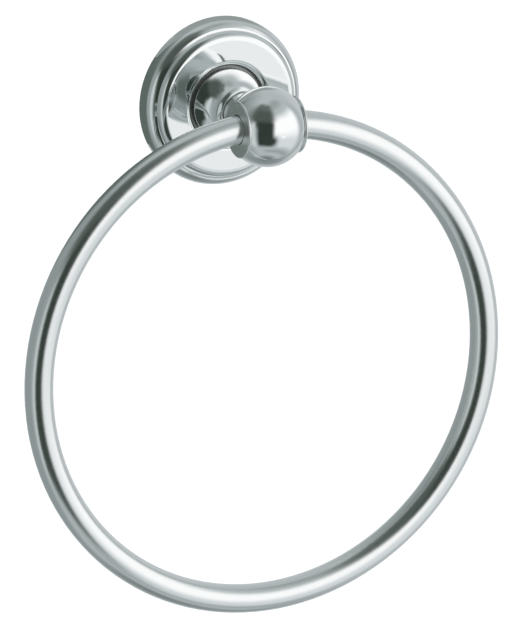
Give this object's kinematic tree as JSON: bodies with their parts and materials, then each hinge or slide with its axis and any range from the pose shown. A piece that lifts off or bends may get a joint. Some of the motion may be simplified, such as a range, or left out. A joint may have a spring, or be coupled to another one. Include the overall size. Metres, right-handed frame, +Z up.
{
  "type": "towel ring",
  "caption": "Wall-mounted towel ring: a stepped round rose, a turned post with a bored ball head, and a round rod ring that hangs and swings in the head.",
  "frame": {"origin": "centre of the backplate's rear face, on the wall plane and on the post's axis", "axes": "+Z up, +Y into the wall, -Y out of the wall towards the user, +X to the right seen from the front"},
  "size_m": [0.18, 0.055, 0.2041],
  "materials": {
    "chrome": "polished chrome plate",
    "zinc": "zinc plated, dull",
    "screw_steel": "plain stainless steel"
  },
  "bodies": {
    "mounted": {"backplate": "zinc", "rose": "chrome", "post": "chrome", "post_screw": "screw_steel", "grub_screw": "screw_steel"},
    "swinging_ring": {"ring": "chrome"}
  },
  "joints": [
    {"name": "ring_swing", "type": "hinge", "parent": "mounted", "child": "swinging_ring", "pos_m": [0, -0.041, 0], "axis": [1, 0, 0], "range_deg": [-191, 11]}
  ]
}
